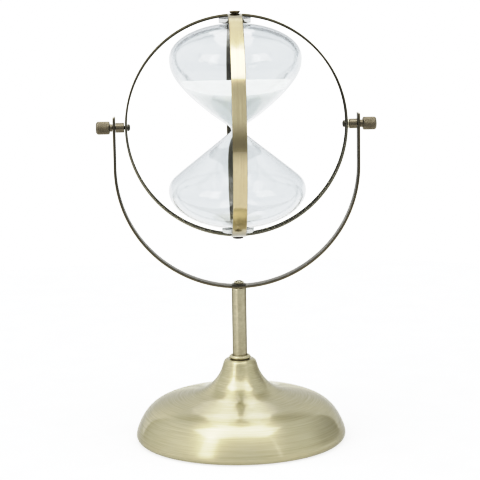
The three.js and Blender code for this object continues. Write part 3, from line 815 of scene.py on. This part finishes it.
# painted shade: the floor's glow falls to about a third towards its front edge
m.link(m.mix(m.span(away.outputs[1], -0.70, -0.36, 0.0, 1.0), (0.35, 0.35, 0.35), (1.0, 1.0, 1.0)), m.bsdf.inputs["Emission Color"])
me.materials.append(m.mat)
floor.visible_transmission = False


# ------------------------------------------------------------------ light
def panel(name, loc, aim, size_x, size_y, radiance):
    data = bpy.data.lights.new(name, "AREA")
    data.shape, data.size, data.size_y = "RECTANGLE", size_x, size_y
    data.energy = radiance * math.pi * size_x * size_y
    ob = bpy.data.objects.new(name, data)
    scene.collection.objects.link(ob)
    ob.location = loc
    ob.rotation_euler = (Vector(aim) - Vector(loc)).to_track_quat("-Z", "Y").to_euler()
    ob.visible_camera = False
    return ob


overhead = [panel("ceiling", (-0.55, -1.75, 5.2), (-0.55, -1.75, 0.0), 6.6, 3.5, 1.5),
            panel("ceiling_mid", (0.0, 1.8, 5.2), (0.0, 1.8, 0.0), 2.6, 3.6, 0.85),
            panel("ceiling_back", (0.0, 4.8, 5.2), (0.0, 4.8, 0.0), 2.2, 2.4, 0.95),
            panel("ceiling_far", (0.0, 7.3, 5.2), (0.0, 7.3, 0.0), 2.6, 2.6, 0.45)]
for nm, az, width, rad in (("left_wall", -40.5, 1.5, 0.9), ("right_edge", 41.0, 0.2, 1.0)):
    a = math.radians(az)
    x, y = 5 * math.sin(a), -5 * math.cos(a)
    side = panel(nm, (x, y, 2.9), (0, 0, 2.9), width, 5.8, rad)
right_of = bpy.data.collections.new("beside_the_right_edge")   # the stem keeps a dark right side
for ob in scene.objects:
    if ob.type == "MESH" and ob.name.split(".")[0] != "stem_rod":
        right_of.objects.link(ob)
side.light_linking.receiver_collection = right_of
opaque = bpy.data.collections.new("under_the_ceiling")       # the clear pieces take no glare from overhead
for ob in scene.objects:
    if ob.type == "MESH" and ob.name.split(".")[0] not in ("bulbs", "top_cap", "bottom_cap"):
        opaque.objects.link(ob)
overhead[0].light_linking.receiver_collection = opaque
unshaded = bpy.data.collections.new("stops_the_light")         # the pieces above throw no hard shade on the base
unshaded.objects.link(floor)
grounded = bpy.data.collections.new("stops_the_ceiling")
for ob in (floor, base):
    grounded.objects.link(ob)
for ob in overhead:
    ob.light_linking.blocker_collection = grounded if ob.name == "ceiling" else unshaded
metal = bpy.data.collections.new("before_the_back_wall")       # brightens the metal only, the glass stays grey
for ob in opaque.objects:
    if ob.name.split(".")[0] not in ("floor", "sand_fill", "stem_rod"):
        metal.objects.link(ob)
dome = bpy.data.collections.new("under_the_back_wall")
for ob in (base, collar):
    dome.objects.link(ob)
for nm, z, tall, rad, lit in (("back_wall", 2.4, 4.8, 0.68, metal), ("back_wall_top", 5.4, 1.2, 0.42, dome), ("back_wall_end", 6.6, 1.2, 0.2, dome)):
    ob = panel(nm, (0.0, 5.5, z), (0.0, 0.0, z), 10.0, tall, rad)
    ob.light_linking.receiver_collection = lit
    ob.light_linking.blocker_collection = unshaded
for nm, y, wide, deep, rad in (("fan_mid", 1.8, 2.6, 3.6, 0.15), ("fan_back", 4.8, 2.2, 2.4, 0.45)):
    ob = panel(nm, (0.0, y, 5.2), (0.0, y, 0.0), wide, deep, rad)      # more of the ceiling for the dome alone
    ob.light_linking.receiver_collection = dome
    ob.light_linking.blocker_collection = unshaded
foot = bpy.data.collections.new("above_the_base")              # light thrown up by the base to the foot of the front strip
foot.objects.link(cro)
ob = panel("from_the_base", (0.0, -0.0215, 0.10), (0.0, -0.0215, 1.0), 0.10, 0.10, 0.25)
ob.light_linking.receiver_collection = foot
ob.light_linking.blocker_collection = unshaded
clear_pieces = bpy.data.collections.new("in_the_windows")     # two windows that show only as soft patches in the glass
for ob in scene.objects:
    if ob.type == "MESH" and ob.name.split(".")[0] in ("bulbs", "top_cap", "bottom_cap"):
        clear_pieces.objects.link(ob)
for nm, az in (("left_window", -52.0), ("right_window", 48.0)):
    a = math.radians(az)
    ob = panel(nm, (5 * math.sin(a), -5 * math.cos(a), 2.85), (0, 0, 2.85), 3.0, 4.2, 1.7)
    ob.visible_transmission = False
    ob.light_linking.receiver_collection = clear_pieces

world = bpy.data.worlds.new("studio")
scene.world = world
world.use_nodes = True
wt = world.node_tree
wt.nodes.clear()


def wnode(kind, **kw):
    n = wt.nodes.new(kind)
    for k, v in kw.items():
        setattr(n, k, v)
    return n


def wmath(op, a, b=None, clamp=False):
    n = wnode("ShaderNodeMath", operation=op, use_clamp=clamp)
    for i, v in enumerate((a, b)):
        if v is None:
            continue
        if isinstance(v, (int, float)):
            n.inputs[i].default_value = v
        else:
            wt.links.new(v, n.inputs[i])
    return n.outputs[0]


def wspan(v, a, b, c, d):
    n = wnode("ShaderNodeMapRange", interpolation_type="SMOOTHSTEP")
    wt.links.new(v, n.inputs[0])
    for i, x in enumerate((a, b, c, d)):
        n.inputs[i + 1].default_value = x
    return n.outputs[0]


sep = wnode("ShaderNodeSeparateXYZ")
wt.links.new(wnode("ShaderNodeTexCoord").outputs["Generated"], sep.inputs[0])
flat = wmath("SQRT", wmath("ADD", wmath("MULTIPLY", sep.outputs[0], sep.outputs[0]),
                           wmath("ADD", wmath("MULTIPLY", sep.outputs[1], sep.outputs[1]), 1e-6)))
facing = wmath("DIVIDE", wmath("MULTIPLY", sep.outputs[1], -1.0), flat)      # 1 towards the viewer, -1 behind
front = wspan(facing, 0.62, 0.86, 0.0, 1.0)
rise = wmath("ADD", wspan(sep.outputs[2], -0.18, 0.24, 0.42, 0.83), wspan(sep.outputs[2], 0.5, 0.67, 0.0, -0.08))      # the open front, darker lower down
low = wspan(sep.outputs[2], -0.03, 0.07, 1.0, 0.0)
flags = wmath("MULTIPLY", wmath("MULTIPLY", wspan(facing, -0.3, 0.2, 1.0, 0.0), wspan(sep.outputs[2], 0.2, 0.75, 1.0, 0.0)),
              wmath("ADD", wspan(sep.outputs[0], 0.2, 0.75, 0.0, 0.34), wspan(sep.outputs[0], -0.65, -0.25, 0.12, 0.0)))      # darker low at both sides
wall = wmath("MULTIPLY", wspan(facing, -0.98, -0.55, 0.34, 1.0), wmath("MULTIPLY", wspan(sep.outputs[0], -0.6, 0.6, 1.08, 0.92), wmath("SUBTRACT", 1.0, flags)))
around = wmath("ADD", wall, wmath("MULTIPLY", low, wmath("SUBTRACT", 0.72, wall)))
level = wmath("ADD", wmath("MULTIPLY", front, rise), wmath("MULTIPLY", wmath("SUBTRACT", 1.0, front), around))
soft = wnode("ShaderNodeBackground")
soft.inputs[0].default_value = (0.97, 0.985, 1.0, 1.0)
wt.links.new(level, soft.inputs[1])
clear = wnode("ShaderNodeBackground")                                         # what is seen through the glass
clear.inputs[0].default_value = (0.97, 0.985, 1.0, 1.0)
wt.links.new(wspan(sep.outputs[1], 0.0, 0.55, 0.57, 0.66), clear.inputs[1])
white = wnode("ShaderNodeBackground")
white.inputs[0].default_value = (1.0, 1.0, 1.0, 1.0)
white.inputs[1].default_value = 1.0
rays = wnode("ShaderNodeLightPath")
through = wnode("ShaderNodeMixShader")
wt.links.new(rays.outputs["Is Transmission Ray"], through.inputs[0])
wt.links.new(soft.outputs[0], through.inputs[1])
wt.links.new(clear.outputs[0], through.inputs[2])
mixw = wnode("ShaderNodeMixShader")
wt.links.new(rays.outputs["Is Camera Ray"], mixw.inputs[0])
wt.links.new(through.outputs[0], mixw.inputs[1])
wt.links.new(white.outputs[0], mixw.inputs[2])
wt.links.new(mixw.outputs[0], wnode("ShaderNodeOutputWorld").inputs[0])

scene.view_settings.view_transform = "Standard"
scene.view_settings.look = "None"
scene.view_settings.exposure = 0.0
scene.view_settings.use_curve_mapping = True                                  # contrast of the picture
tone = scene.view_settings.curve_mapping
tone.extend = "HORIZONTAL"
for x, y in ((0.06, 0.016), (0.14, 0.068), (0.22, 0.175), (0.38, 0.45), (0.60, 0.80), (0.80, 0.92)):
    tone.curves[3].points.new(x, y)
tone.update()
scene.cycles.use_denoising = True
scene.cycles.max_bounces = 24
scene.cycles.transmission_bounces = 24
scene.cycles.glossy_bounces = 12
